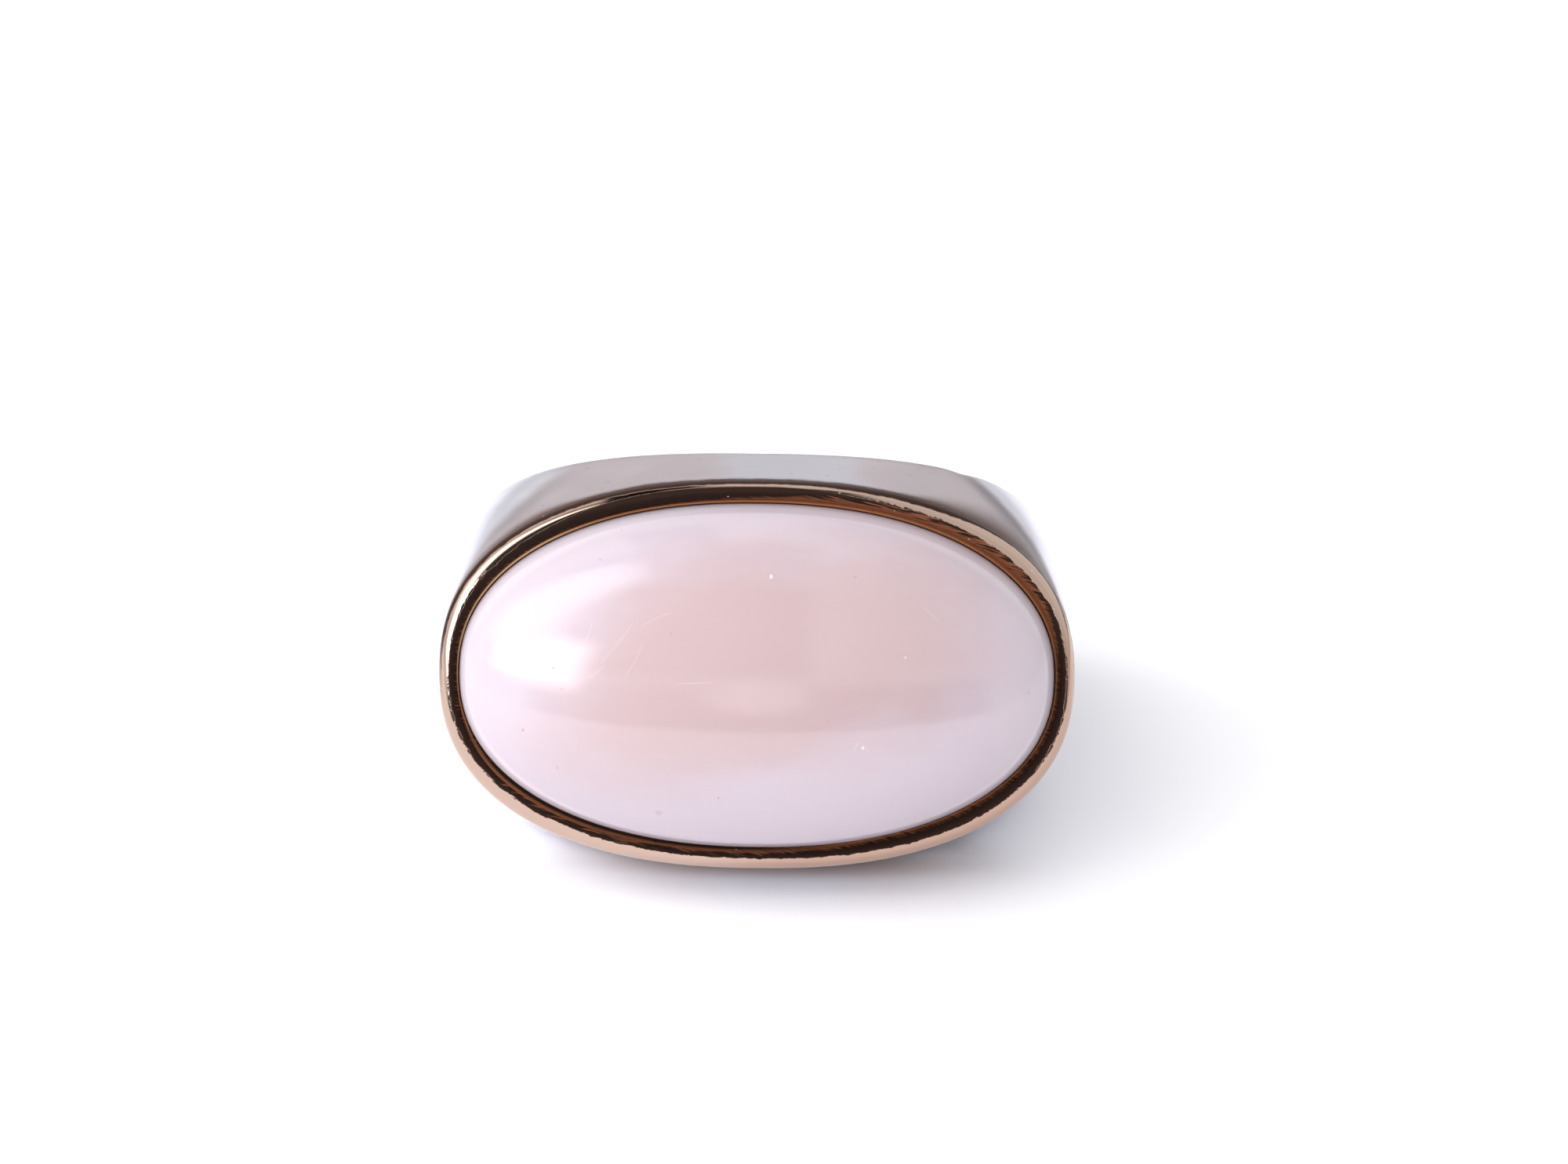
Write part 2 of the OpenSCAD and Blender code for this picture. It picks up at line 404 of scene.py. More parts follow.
def makeCoralLook():
    look = coralLook
    material, board = newMaterial("coral")
    place = board.add("ShaderNodeTexCoord", out="Object")
    x, w, _ = board.ringSpot(place)

    def away(x0, w0, a, b, tilt=0.0):  # distance from a place, in parts of an oval's radii
        return (((x - x0) / a) ** 2 + ((w - w0 - x * tilt) / b) ** 2).calc("SQRT")

    clouds = board.noise(place, look["cloudScale"], 2.0, 0.5, 0.6) - 0.5
    mottle = board.noise(board.vector("MULTIPLY", place, look["mottleScale"]), 1.0, 3.0, 0.6) - 0.5
    a, b = look["pinkSize"]
    pink = away(*look["pinkAt"], stoneA * a, stoneB * b, look["pinkTilt"])
    pink = pink + clouds * look["cloudShare"] + mottle * look["mottleShare"]
    # Paler away from the pink middle: partly the stone's own colour, partly painted reflection
    pale = board.step(pink, *look["paleFrom"])
    pale = pale * board.step(away(*look["pinkLow"]), 0.2, 1.0, look["pinkLowPale"], 1.0)
    colour = board.blend(pale, look["colour"], look["paleColour"])
    # Painted light: paler at the very edge and towards the right end
    rim = board.step(away(0.0, 0.0, stoneA, stoneB), *look["edgeLightFrom"], 0.0, look["edgeLightStrength"])
    rim = rim + board.step(x, *look["rightFrom"], 0.0, look["rightLightStrength"])
    colour = board.blend(rim, colour, look["edgeLightColour"])
    specks = board.step(board.noise(place, look["speckScale"], 1.0, 0.5), *look["speckEdge"])
    colour = board.blend(specks * look["speckStrength"], colour, look["speckColour"])
    for x0, w0, radius, light in look["pits"]:
        pit = board.step(away(x0, w0, radius, radius * look["pitShape"]), 0.5, 1.1, look["pitStrength"], 0.0)
        colour = board.blend(pit, colour, look["hairColour" if light else "speckColour"])
    # Fine scratches, which wander a little
    bend = (board.noise(place, look["bendScale"], 1.0, 0.5) - 0.5) * look["scratchBend"]
    hairs = None
    for x0, w0, way, length in look["scratches"]:
        c, s = math.cos(math.radians(way)), math.sin(math.radians(way))
        along = ((x - x0) * c + (w - w0) * s).calc("ABSOLUTE")
        off = ((w - w0) * c - (x - x0) * s + bend).calc("ABSOLUTE")
        hair = board.step(off, look["scratchWidth"] * 0.3, look["scratchWidth"], 1.0, 0.0)
        hair = hair * board.step(along, length * 0.3, length * 0.5, 1.0, 0.0)
        hairs = hairs.calc("MAXIMUM", hair) if hairs else hair
    colour = board.blend(hairs * look["scratchStrength"], colour, look["hairColour"])
    relief = board.noise(place, look["waveScale"], 2.0, 0.5) + hairs * look["scratchRelief"]
    board.surface({
        "Base Color": colour,
        "Roughness": look["roughness"],
        "IOR": look["refraction"],
        "Subsurface Weight": look["scatter"],
        "Subsurface Radius": look["scatterWay"],
        "Subsurface Scale": look["scatterDepth"] * mm,
        "Normal": board.bump(look["bumpStrength"], look["bumpDepth"], relief),
    })
    return material


coralMaterial = makeCoralLook()

# The shank
shank = {
    "holeRadius": 8.75,
    "innerRound": 0.45,
    "hoopRadius": 10.7,
    "hoopRound": 1.1,
    "backWidth": 3.4,
    "waistWidth": 7.8,
    "lengthPower": 0.75,  # how early the body widens from the hoop to the head
    "flare": 7.1,  # degrees by which the head widens towards the finger
    "footPower": 2.78,
    "footDepth": 6.4,
    "kneeHeight": 9.4,
    "kneeWidth": 15.6,
    "kneeRound": 0.57,
    "endRound": 0.14,
    "endHeight": 5,  # where the rounding of the ends is complete
    "roundPower": 2.4,
    "creaseDepth": (0.02, 0.07),  # left and right
    "creaseWidth": 0.9,
    "creaseFrom": 7.2,  # x where it starts, low on the side
    "creaseTo": 10.7,  # x where it meets the bezel
    "creaseDrop": (3.9, 6.0),  # how far under the seat it starts, left and right
    "creasePower": 0.72,
    "creaseRun": 1.4,  # how far it runs on past its start
    "creaseLead": 1.6,  # x before its start at which it begins to fade in
    "creaseFade": 2,
    "pocketDepth": 1.49,
    "pocketShare": 0.483,  # of the rim's width, from the outside
    "headSections": 64,
    "hoopSections": 110,
    "wallSteps": 5,
    "edgeSteps": 8,
    "sideSteps": 48,
    "sideSpacing": 2.2,  # more brings the steps closer together at the outside
    "sharpAngle": 40,
}

whiteMetal = makeWhiteMetal()
print("coral and white metal looks made")


def gridFaces(rows, count, closed=False):  # between rows of points, with count points in each
    return [
        (i * count + j, i * count + (j + 1) % count, (i + 1) * count + (j + 1) % count, (i + 1) * count + j)
        for i in range(rows - 1)
        for j in range(count if closed else count - 1)
    ]


def sideFace(n):  # half the width between the two side faces
    s = shank
    waist, knee, hoop = s["waistWidth"], s["kneeHeight"], s["hoopRadius"]
    back = (waist - s["backWidth"]) / hoop
    bend = ((s["kneeWidth"] - waist) / knee - back) / (knee + hoop)
    return (waist + n * (back + bend * (n + hoop))) / 2


def halfLength(n):
    widening = ease(np.clip(n / seat, 0, None) ** shank["lengthPower"])
    return mix(shank["hoopRadius"], headA, widening)


def headWidth(n, share):
    depth = seat - n
    power = mix(outline["headPower"], shank["footPower"], ease(depth / shank["footDepth"]))
    wide = headB + depth * math.tan(math.radians(shank["flare"]))
    return wide * np.clip(1 - np.clip(share, 0, 1) ** power, 0, None) ** (1 / power)


def bodyWidth(n, inset):  # half width at a height and a distance in from the outside
    s = shank
    head = headWidth(n, 1 - inset / halfLength(n))
    face = sideFace(n)
    h = np.clip(0.5 + (head - face) / (2 * s["kneeRound"]), 0, 1)
    joined = mix(head, face, h) - s["kneeRound"] * h * (1 - h)
    t = np.clip(inset / mix(s["hoopRound"], s["endRound"], ease(n / s["endHeight"])), 0, 1)
    return np.clip(joined, 0, None) * (1 - (1 - t) ** s["roundPower"]) ** (1 / s["roundPower"])


def crease(x, n, side):  # a soft hollow between the broad side and the shoulder; side 0 is the left
    s = shank
    run = np.clip((s["creaseTo"] - x) / (s["creaseTo"] - s["creaseFrom"]), 0, s["creaseRun"])
    off = (seat - n - s["creaseDrop"][side] * run ** s["creasePower"]) / s["creaseWidth"]
    fade = ease((x - s["creaseFrom"] + s["creaseLead"]) / s["creaseFade"])
    return s["creaseDepth"][side] * np.exp(-off * off) * fade


endAngle = math.atan2(headA, seat)  # of the head's end, from the middle of the head


def farRadius(angle):  # how far the body reaches at an angle from the middle of the head
    if angle <= endAngle + 1e-6:
        return seat / math.cos(angle)
    reach = shank["hoopRadius"]
    if angle < math.pi / 2:
        for _ in range(12):
            reach = halfLength(reach * math.cos(angle)) / math.sin(angle)
    return float(reach)


def shankSection(angle, side):  # x, w and n from the middle of the hole's wall to the outside, on one side
    s = shank
    far = farRadius(angle)
    flat = s["holeRadius"] + s["innerRound"]
    turn = np.linspace(0, math.pi / 2, s["edgeSteps"])
    run = np.linspace(0, 1, s["sideSteps"] + 1)[1:]
    outwards = far - (far - flat) * (1 - run) ** s["sideSpacing"]
    r = np.concatenate([flat - s["innerRound"] * np.cos(turn), outwards])
    x, n = r * math.sin(angle), r * math.cos(angle)
    inset = np.clip(halfLength(n) - x if angle < math.pi / 2 else s["hoopRadius"] - r, 0, None)
    w = bodyWidth(n, inset)
    w -= np.minimum(crease(x, n, side), w * 0.5)
    w[: s["edgeSteps"]] -= s["innerRound"] * (1 - np.sin(turn))
    wall = np.linspace(0, 1, s["wallSteps"], endpoint=False)
    return (
        np.concatenate([np.full(len(wall), x[0]), x]),
        np.concatenate([wall * w[0], w]),
        np.concatenate([np.full(len(wall), n[0]), n]),
    )


def shankQuarter(side):
    s = shank
    spread = np.linspace(0, math.pi / 2, s["headSections"])
    headAngles = [math.atan(headA / seat * math.sin(t)) for t in spread]
    hoopAngles = list(np.linspace(endAngle, math.pi, s["hoopSections"]))[1:]
    rows = [np.array(shankSection(a, side)).T for a in headAngles + hoopAngles]
    count = len(rows[0])
    points = [p for row in rows for p in row]
    faces = gridFaces(len(rows), count)
    # The seat of the bezel, and the pocket in it
    rim = [i * count + count - 1 for i in range(len(headAngles))]
    turn = [math.atan2(max(points[i][1], 0) / headB, points[i][0] / headA) for i in rim]
    outer = np.array([oval(t, headA, headB, outline["headPower"]) for t in turn])
    inner = np.array([oval(t, stoneA + gap, stoneB + gap, outline["stonePower"]) for t in turn])
    edge = mix(outer, inner, s["pocketShare"])
    loops = [rim]
    for depth in (0, s["pocketDepth"]):
        loops.append(list(range(len(points), len(points) + len(edge))))
        points += [np.array((x, w, seat - depth)) for x, w in edge]
    for upper, lower in zip(loops, loops[1:]):
        faces += [(upper[i], lower[i], lower[i + 1], upper[i + 1]) for i in range(len(edge) - 1)]
    faces += [(loops[-1][i], len(points), loops[-1][i + 1]) for i in range(len(edge) - 1)]
    points.append(np.array((0, 0, seat - s["pocketDepth"])))
    return points, faces


def makeShank():
    points, faces = [], []
    for side, signX in enumerate((-1, 1)):
        quarter, quarterFaces = shankQuarter(side)
        for signW in (1, -1):
            start = len(points)
            points += [(x * signX, w * signW, n) for x, w, n in quarter]
            for face in quarterFaces:
                order = face if signX * signW > 0 else face[::-1]
                faces.append(tuple(start + k for k in order))
    return meshPiece("shank_body", placed(*np.array(points).T), faces, shank["sharpAngle"], whiteMetal)


shankPiece = makeShank()
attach(shankPiece, "root")
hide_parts("shank")
print("shank made:", len(shankPiece.data.polygons), "faces")

# The bezel, with shares of the rim's width counted from the outside
bezel = {
    "around": 1200,
    "depth": 1.45,
    "sleeveAt": 0.54,  # share at the outside of the sleeve in the pocket
    "sleeveStep": -0.7,  # height of a row halfway down the sleeve
    "baseStep": 0.8,  # share of a row under the sleeve
    "wallStep": 0.2,  # height of a row low on the outer wall
    "innerSteps": (-0.5, 0.1),  # heights of rows beside the stone
    "width": 0.77,  # of the rim, about
    "crestHeight": 0.8,
    "crestAt": 0.5,
    "crestTilt": 80,  # degrees between the outward direction and the surface's normal, at the crest
    "shoulderTilt": 45,  # and where the rounded edge begins
    "edgeRadius": 0.68,
    "lipWidth": 0.075,
    "lipHeight": 0.35,
    "lipBase": 0.06,  # how far under the lip's rounding the last row of the inner wall lies
    "lipGroove": (0.015, 0.03),  # share beside the lip and depth under it at which the bevel starts
    "crestStart": (0.02, 0.01),  # share before the crest and depth under it at which the bevel ends
    "bevelBulge": 1.6,  # more is rounder
    "profileTop": 0.85,  # over every row
    "lipRows": 7,
    "bevelRows": 20,
    "crestRows": 17,
    "edgeRows": 11,
    "wobble": 0.16,  # share of the rim's width by which the crest wanders
    "wobbleScale": 1.6,
    "wobbleReach": (0.16, 0.12),  # inwards and outwards from the crest, in parts of the profile
    "crestShift": -0.05,  # share of the rim's width, from the lower left to the upper right
    "shiftTo": 0.92,  # part of the profile up to which the crest shifts
    "graverDepth": 0.022,
    "graverPitch": 0.16,
    "graverSlant": 0.05,
    "graverStretch": 1.5,
    "graverEdge": (0.45, 0.7),
    "graverReach": (0.08, 0.05, 0.01),  # after the lip, and before and after the crest
    "seed": 4,
    "weld": 0.0005,
}


def rimRows():  # share of the rim's width from the outside, and height over the seat, from the stone outwards
    s = bezel
    lip, lipTop, depth = s["lipWidth"] / 2, s["lipHeight"], s["depth"]
    rows = [(1, -depth)] + [(1, height) for height in s["innerSteps"]] + [(1, lipTop - s["lipBase"])]
    for t in np.linspace(0, math.pi, s["lipRows"]):
        rows.append((1 - lip + lip * math.cos(t), lipTop + lip * s["width"] * math.sin(t)))
    marks = {"lip": len(rows)}
    (startGap, startDrop), (endGap, endDrop) = s["lipGroove"], s["crestStart"]
    start = (1 - s["lipWidth"] - startGap, lipTop - startDrop)
    end = (s["crestAt"] + endGap, s["crestHeight"] - endDrop)
    for t in np.linspace(0, 1, s["bevelRows"], endpoint=False):
        rows.append((mix(start[0], end[0], t), mix(start[1], end[1], 1 - (1 - t) ** s["bevelBulge"])))
    marks["crest"] = len(rows)
    tilts = [math.radians(s[name]) for name in ("crestTilt", "shoulderTilt")]
    edge = s["edgeRadius"] * (1 - math.cos(tilts[1])) / s["width"]
    radius = (s["crestAt"] - edge) * s["width"] / (math.cos(tilts[1]) - math.cos(tilts[0]))
    for tilt in np.linspace(*tilts, s["crestRows"]):
        share = s["crestAt"] - radius * (math.cos(tilt) - math.cos(tilts[0])) / s["width"]
        rows.append((share, s["crestHeight"] - radius * (math.sin(tilts[0]) - math.sin(tilt))))
    marks["edge"] = len(rows)
    top = rows[-1][1]
    for tilt in np.linspace(tilts[1], 0, s["edgeRows"])[1:]:
        share = s["edgeRadius"] * (1 - math.cos(tilt)) / s["width"]
        rows.append((share, top - s["edgeRadius"] * (math.sin(tilts[1]) - math.sin(tilt))))
    rows += [(0, s["wallStep"]), (0, gap)]
    rows += [(s["sleeveAt"], height) for height in (gap, s["sleeveStep"], -depth)]
    rows += [(s["baseStep"], -depth), (1, -depth)]
    last = len(rows) - 1
    return [(i / last, *row) for i, row in enumerate(rows)], {name: row / last for name, row in marks.items()}


rimProfile, rimMarks = rimRows()
print("bezel profile:", len(rimProfile), "rows", {name: round(v, 3) for name, v in rimMarks.items()})

# Rose gold: a polished rim, a dark bevel beside the stone with strokes of the graver, and a thin bare lip,
# with painted highlights and painted shade by side and on the upper outer wall.
# Places across the rim are in parts of its profile, from the stone outwards.
roseGoldLook = {
    "colour": (0.56, 0.41, 0.335),
    "warmShadeTilt": 0.7,  # painted shade: the rim is darker and warmer at the lower right
    "warmShadeFrom": (4.5, 8.0),
    "warmShadeStrength": 0.3,
    "roughness": 0.07,
    "specular": 0.04,
    "bevelColour": (0.27, 0.105, 0.05),
    "bevelRoughness": 0.3,
    "bevelDull": 0.5,
    "bevelEdge": (-0.004, 0.012),
    "overCrest": 0.25,  # painted shade: how far the dark reaches out over the crest, on the upper left
    "overSide": (-9.5, -3.0, 0.5, 5.0),
    "overHeight": (1.0, 4.0),
    "lowerTilt": 0.3,  # where the lower side is
    "lowerFrom": (-6.6, -4.0),
    "upLeftSide": (-8.5, -4.5),  # where the upper left is
    "upLeftHeight": (-1.5, 1.5),
    # the lip is bare metal; its lighter colour is partly a painted highlight
    "lipColour": (0.45, 0.18, 0.08),
    "lipHighlight": (0.66, 0.38, 0.21),  # painted highlight, lighter, at the upper left
    "lipShift": -0.06,
    "lipEdge": (0.054, 0.072),
    "lipTilt": 1.2,
    "lipFrom": (-6.0, 6.0),
    "lipStrength": (0.62, 0.3),  # painted highlight, from the upper left to the lower right
    "lipStronger": 0.25,  # painted highlight, more at the upper left
    "lipDull": 0.7,
    "lowerLipShift": 0.14,
    "lowerLipThinner": 0.016,
    "lowerLipDark": (0.01, 0.05),  # painted shade in the gap beside the lip, on the lower side
    # of the graver strokes, and of the painted shade on the bevel
    "strokeAndShadeColour": (0.023, 0.012, 0.009),
    "strokeWay": -14,  # degrees
    "strokeLength": 1.2,
    "strokeWidth": 0.065,
    "strokeContrast": 3,
    "strokeEdge": (0.06, 0.5),
    "strokeDull": 0.4,
    "faintLoss": 2.2,  # of contrast, at the lower right and at the top
    "faintRight": (5.0, 9.5),
    "faintHeight": (3.5, 6.0),
    "faintSide": (1.0, 3.5),
    "bevelLightTilt": 0.6,  # painted highlight: the upper right of the bevel is lighter, like bare metal
    "bevelLightFrom": (3.5, 7.5),
    "bevelLightHeight": (0.0, 3.5),
    "bevelLightStrength": 0.36,
    # painted shade on the bevel: towards the crest, and at the left and right ends
    "darkToCrest": 0.8,
    "darkAtCrest": 0.6,
    "crestReach": (-0.05, 0.01),
    "crestSide": (1.0, 5.0),
    "darkToLeft": 0.5,
    "leftTilt": 0.7,
    "leftFrom": (-9.0, -3.0),
    "darkToRight": 0.3,
    "rightFrom": (5.0, 11.0),
    "seamShade": (0.03, 0.012, 0.008),  # painted shade on the outer wall, on the upper side
    "seamShadeHeight": (-2.0, 1.5),
    "seamShadeEdge": 0.022,
    "seamShadeShift": (0.015, -0.01),  # left and right
    "seamShadeSide": (1.0, 5.0),
    "seamShadeLower": 0.09,  # how much further down it starts at the right end
    "seamShadeEnd": (6.0, 9.5),
    "raggedScale": 2500.0,
    "ragged": 0.04,
    # nicks are dents; their lighter colour is a painted glint
    "nickGlintColour": (0.75, 0.6, 0.5),
    "nickPitch": 0.9,
    "nickEdge": (0.03, 0.05),
    "nickGlintStrength": 0.8,
    "grainScale": 6000.0,
    "grainRoughness": 0.04,
    "bumpStrength": 0.35,
    "bumpDepth": 0.01,
    "bumpShares": (0.3, 3.0, 3.0),  # of grain, nicks and strokes
}


def makeRoseGold():
    look = roseGoldLook
    material, board = newMaterial("rose_gold")
    place = board.add("ShaderNodeTexCoord", out="Object")
    x, w, n = board.ringSpot(place)
    across = board.parted(board.add("ShaderNodeUVMap", {"uv_map": "UVMap"}), out=1)
    crestAt, lipAt, edgeAt = rimMarks["crest"], rimMarks["lip"], rimMarks["edge"]

    def beside(mark, pair):  # places just before and after a mark
        return mark + pair[0], mark + pair[1]

    # Painted shade: on the upper left the dark reaches out over the crest
    over = board.window(x, *look["overSide"]) * board.step(w, *look["overHeight"]) * look["overCrest"]
    bevel = board.step(across - over, *beside(crestAt, look["bevelEdge"]), 1.0, 0.0)
    # The bare lip lies beside the stone, and further out on the lower side; its lighter colour is partly a
    # painted highlight, stronger at the upper left
    lower = board.step(w + x * look["lowerTilt"], *look["lowerFrom"], 1.0, 0.0)
    line = (across - (lipAt + look["lipShift"] + lower * look["lowerLipShift"])).calc("ABSOLUTE")
    line = line + lower * look["lowerLipThinner"]
    upperLeft = board.step(x, *look["upLeftSide"], 1.0, 0.0) * board.step(w, *look["upLeftHeight"])
    lip = board.step(x - w * look["lipTilt"], *look["lipFrom"], *look["lipStrength"])
    lip = (lip + upperLeft * look["lipStronger"]) * board.step(line, *look["lipEdge"], 1.0, 0.0)
    # Strokes of the graver all run one way, and are faint at the lower right and at the top
    c, s = math.cos(math.radians(look["strokeWay"])), math.sin(math.radians(look["strokeWay"]))
    run = (x * c + w * s) * (1 / look["strokeLength"])
    tight = (w * c - x * s) * (1 / look["strokeWidth"])
    strokes = board.noise(board.joined(run, tight, n), 1.0, 2.0, 0.6)
    faint = board.step(w, *look["faintHeight"]) * board.step(x, *look["faintSide"], 1.0, 0.0)
    faint = faint.calc("MAXIMUM", board.step(x - w, *look["faintRight"]))
    contrast = look["strokeContrast"] - faint * look["faintLoss"]
    # Painted light and shade on the bevel: lighter, like bare metal, at the upper right, and painted shade
    # towards the crest and round to the left and right
    bevelLight = board.step(x + w * look["bevelLightTilt"], *look["bevelLightFrom"], 0.0, look["bevelLightStrength"])
    bevelLight = bevelLight * board.step(w, *look["bevelLightHeight"])
    atCrest = board.step(across, *beside(crestAt, look["crestReach"]))
    atCrest = atCrest * board.step(x, *look["crestSide"], look["darkAtCrest"], 0.0)
    inward = board.step(across, lipAt, crestAt) * look["darkToCrest"] + atCrest
    aside = board.step(x - w * look["leftTilt"], *look["leftFrom"], look["darkToLeft"], 0.0)
    aside = aside + board.step(x - w, *look["rightFrom"], 0.0, look["darkToRight"])
    strokesAndShade = board.step((strokes - 0.5) * contrast + inward + aside - bevelLight, *look["strokeEdge"])
    # Painted shade in the gap beside the lip, on the lower side
    low = lower * board.step(across, *beside(lipAt, look["lowerLipDark"]), 1.0, 0.0)
    strokesAndShade = strokesAndShade.calc("MAXIMUM", low) * bevel
    cut = board.blend(strokesAndShade, look["bevelColour"], look["strokeAndShadeColour"])
    # Painted shade: the rim is darker and warmer at the lower right
    warmShade = board.step(x * look["warmShadeTilt"] - w, *look["warmShadeFrom"], 0.0, look["warmShadeStrength"])
    colour = board.blend(bevel, board.blend(warmShade, look["colour"], look["bevelColour"]), cut)
    # Painted shade: the outer wall is dull and dark on the upper side
    ragged = (board.noise(place, look["raggedScale"], 2.0, 0.6) - 0.5) * look["ragged"]
    limit = edgeAt + board.step(x, *look["seamShadeSide"], *look["seamShadeShift"])
    limit = limit + board.step(x, *look["seamShadeEnd"], 0.0, look["seamShadeLower"])
    wall = board.step(across - limit + ragged, 0.0, look["seamShadeEdge"]) * board.step(w, *look["seamShadeHeight"])
    colour = board.blend(wall, colour, look["seamShade"])
    colour = board.blend(lip, colour, board.blend(upperLeft, look["lipColour"], look["lipHighlight"]))
    # Small dented nicks, with a painted glint
    cells = board.add(
        "ShaderNodeTexVoronoi", {"feature": "F1"}, {"Vector": place, "Scale": 1 / (look["nickPitch"] * mm)}
    )
    nicks = board.step(cells, *look["nickEdge"], 1.0, 0.0)
    colour = board.blend(nicks * look["nickGlintStrength"], colour, look["nickGlintColour"])
    dull = (bevel * look["bevelDull"] + strokesAndShade * look["strokeDull"]).calc("MAXIMUM", wall)
    dull = dull.calc("MAXIMUM", lip * look["lipDull"])
    fine = board.noise(place, look["grainScale"], 3.0, 0.6)
    ofFine, ofNicks, ofStrokes = look["bumpShares"]
    height = fine * ofFine - nicks * ofNicks + strokes * bevel * ofStrokes
    rougher = (bevel + wall).calc("MINIMUM", 1.0) * (look["bevelRoughness"] - look["roughness"])
    board.surface({
        "Base Color": colour,
        "Metallic": 1 - dull,
        "Specular IOR Level": look["specular"],
        "Roughness": look["roughness"] + rougher + fine * look["grainRoughness"],
        "Normal": board.bump(look["bumpStrength"], look["bumpDepth"], height),
    })
    return material


roseGold = makeRoseGold()
print("rose gold look made")


def bezelTree():
    tree = bpy.data.node_groups.new("bezel_rim", "GeometryNodeTree")
    tree.is_modifier = True
    kinds = {
        "Around": "Int", "Across": "Int", "Wobble": "Float", "Crest shift": "Float",
        "Graver depth": "Float", "Graver pitch": "Float", "Seed": "Float",
    }
    for name, kind in kinds.items():
        tree.interface.new_socket(name=name, in_out="INPUT", socket_type="NodeSocket" + kind)
    tree.interface.new_socket(name="Geometry", in_out="OUTPUT", socket_type="NodeSocketGeometry")
    board = Board(tree)
    given = board.add("NodeGroupInput")
    grid = board.add(
        "GeometryNodeMeshGrid", None,
        {"Size X": 1.0, "Size Y": 1.0, "Vertices X": given.out("Around"), "Vertices Y": given.out("Across")},
    )
    stored = board.add(
        "GeometryNodeStoreNamedAttribute", {"data_type": "FLOAT2", "domain": "CORNER"},
        {"Geometry": grid, "Name": "UVMap", "Value": grid.out("UV Map")},
    )
    spot = board.parted(board.add("GeometryNodeInputPosition"))
    angle = (spot + 0.5) * (2 * math.pi)
    across = spot.out("Y") + 0.5
    low = -bezel["depth"]
    span = bezel["profileTop"] - low

    def profile(points):
        return board.add("ShaderNodeFloatCurve", {"curve": points}, {"Value": across})

    share = profile([(v, s) for v, s, _ in rimProfile])
    height = profile([(v, (h - low) / span) for v, _, h in rimProfile]) * span + low
    # The crest wanders a little, and short cuts cross the bevel
    crestAt, lipAt = rimMarks["crest"], rimMarks["lip"]
    inner, outer = bezel["wobbleReach"]
    crest = board.window(across, crestAt - inner, crestAt, crestAt, crestAt + outer)
    start, end, fade = bezel["graverReach"]
    bevel = board.window(across, lipAt, lipAt + start, crestAt - end, crestAt + fade)
    seed = given.out("Seed")
    c, s = angle.calc("COSINE"), angle.calc("SINE")
    wander = board.noise(board.joined(c * headA, s * headA, seed), bezel["wobbleScale"], 5.0, 0.75) - 0.5
    share = share + wander * crest * given.out("Wobble") * 2
    slope = (0.5 - (share - 0.5).calc("ABSOLUTE")) * across.calc("LESS_THAN", bezel["shiftTo"]) * 2
    share = share + (c + s) * slope * given.out("Crest shift")
    turned = angle + across * bezel["graverSlant"]
    cutPath = board.joined(
        turned.calc("COSINE") * headA, turned.calc("SINE") * headA, across * bezel["graverStretch"] + seed
    )
    cuts = board.step(board.noise(cutPath, 1 / given.out("Graver pitch"), 2.0, 0.6), *bezel["graverEdge"])
    height = height - cuts * bevel * given.out("Graver depth")

    def ovalPoint(a, b, power):
        k = (c.calc("ABSOLUTE") ** power + s.calc("ABSOLUTE") ** power) ** (-1 / power)
        return c * k * a, s * k * b

    outerX, outerW = ovalPoint(headA, headB, outline["headPower"])
    innerX, innerW = ovalPoint(stoneA + gap, stoneB + gap, outline["stonePower"])
    point = board.joined(
        outerX + (innerX - outerX) * share, outerW + (innerW - outerW) * share, height + seat
    )
    moved = board.add("GeometryNodeSetPosition", None, {"Geometry": stored, "Position": point})
    turn = (math.pi / 2 - lean, 0, 0)
    laid = board.add(
        "GeometryNodeTransform", None,
        {"Geometry": moved, "Translation": holeAt, "Rotation": turn, "Scale": (mm, mm, mm)},
    )
    closed = board.add(
        "GeometryNodeMergeByDistance", None, {"Geometry": laid, "Distance": bezel["weld"] * mm}
    )
    smooth = board.add("GeometryNodeSetShadeSmooth", None, {"Geometry": closed, "Shade Smooth": True})
    real = board.add("GeometryNodeRealizeInstances", None, {"Geometry": smooth})
    painted = board.add("GeometryNodeSetMaterial", None, {"Geometry": real, "Material": roseGold})
    board.add("NodeGroupOutput", None, {"Geometry": painted})
    return tree


def treePiece(name, tree, values):  # a plain mesh made by a node tree
    maker = linked(name + "_maker", bpy.data.meshes.new(name + "_maker"))
    modifier = maker.modifiers.new("shape", "NODES")
    modifier.node_group = tree
    sockets = {item.name: item.identifier for item in tree.interface.items_tree if item.in_out == "INPUT"}
    for key, value in values.items():
        modifier[sockets[key]] = value
    mesh = bpy.data.meshes.new_from_object(maker.evaluated_get(bpy.context.evaluated_depsgraph_get()))
    bpy.data.objects.remove(maker)
    mesh.name = name
    return linked(name, mesh)


bezelPiece = treePiece("bezel_rim", bezelTree(), {
    "Around": bezel["around"] + 1,
    "Across": len(rimProfile),
    "Wobble": bezel["wobble"],
    "Crest shift": bezel["crestShift"],
    "Graver depth": bezel["graverDepth"],
    "Graver pitch": bezel["graverPitch"],
    "Seed": float(bezel["seed"]),
})
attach(bezelPiece, "root")
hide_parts("bezel")
print("bezel made:", len(bezelPiece.data.polygons), "faces")

# The coral
coral = {
    "domeHeight": 4.6,
    "edgeHeight": 0.36,  # over the seat
    "baseBevel": 0.3,
    "depth": 1.41,
    "around": 192,
    "rings": 64,
    "sharpAngle": 35,
}


